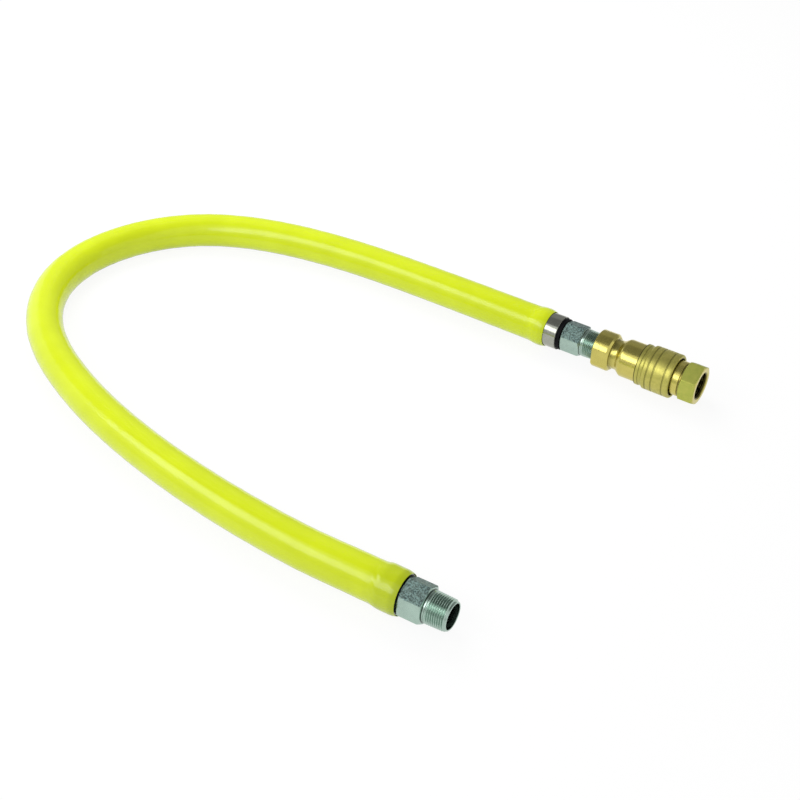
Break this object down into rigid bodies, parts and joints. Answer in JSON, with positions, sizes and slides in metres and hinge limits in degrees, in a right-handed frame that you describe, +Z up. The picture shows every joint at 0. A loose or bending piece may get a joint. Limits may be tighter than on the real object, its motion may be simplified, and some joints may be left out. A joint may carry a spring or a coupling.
{
  "type": "flexible gas hose",
  "caption": "Yellow coated flexible gas hose with a fixed male thread at one end and a swivel quick-disconnect coupling with a locked-in plug at the other.",
  "frame": {"origin": "centre of the footprint, on the surface that the hose lies on", "axes": "+X along the coupling's axis, out of the plug's threaded socket; +Z up; the hose bends round towards -X and comes back along -Y"},
  "size_m": [0.634, 0.3993, 0.0418],
  "materials": {
    "yellow_coating": "smooth semi-gloss vinyl coating",
    "stainless_steel": "bright stainless steel, polished on the collar",
    "zinc_plated_steel": "zinc plated steel with a cool blue-green cast",
    "polished_brass": "bright turned brass",
    "satin_brass": "duller milled brass",
    "spring_steel": "bright spring and bearing steel",
    "black_rubber": "matt black rubber"
  },
  "bodies": {
    "hose": {"hose_jacket": "yellow_coating", "wire_braid": "stainless_steel", "corrugated_tube": "stainless_steel", "near_nipple": "zinc_plated_steel", "near_braid_collar": "stainless_steel", "swivel_housing": "stainless_steel", "swivel_collar": "stainless_steel", "swivel_retaining_ring": "spring_steel", "dust_ring": "black_rubber"},
    "coupling": {"swivel_nipple": "zinc_plated_steel", "swivel_seal_1": "black_rubber", "swivel_seal_2": "black_rubber", "socket_tail": "polished_brass", "socket_barrel": "polished_brass", "barrel_seal": "black_rubber", "plug_seal": "black_rubber", "valve_guide": "polished_brass", "valve_poppet": "polished_brass", "poppet_seal": "black_rubber", "valve_spring": "spring_steel", "sleeve_spring": "spring_steel", "sleeve_stop_ring": "spring_steel", "locking_ball_1": "spring_steel", "locking_ball_2": "spring_steel", "locking_ball_3": "spring_steel", "locking_ball_4": "spring_steel", "locking_ball_5": "spring_steel", "locking_ball_6": "spring_steel", "locking_ball_7": "spring_steel", "locking_ball_8": "spring_steel"},
    "sleeve": {"release_sleeve": "polished_brass"},
    "plug": {"plug": "satin_brass"}
  },
  "joints": [
    {"name": "coupling_spin", "type": "hinge", "parent": "hose", "child": "coupling", "pos_m": [0.1703, 0.1785, 0.0209], "axis": [1, 0, 0], "continuous": true},
    {"name": "sleeve_slide", "type": "slide", "parent": "coupling", "child": "sleeve", "axis": [-1, 0, 0], "range_m": [0, 0.0065], "stiffness_N_per_m": 500, "springref_m": -0.012, "deforming": ["sleeve_spring"]},
    {"name": "plug_spin", "type": "hinge", "parent": "coupling", "child": "plug", "pos_m": [0.2835, 0.1785, 0.0209], "axis": [1, 0, 0], "continuous": true}
  ]
}
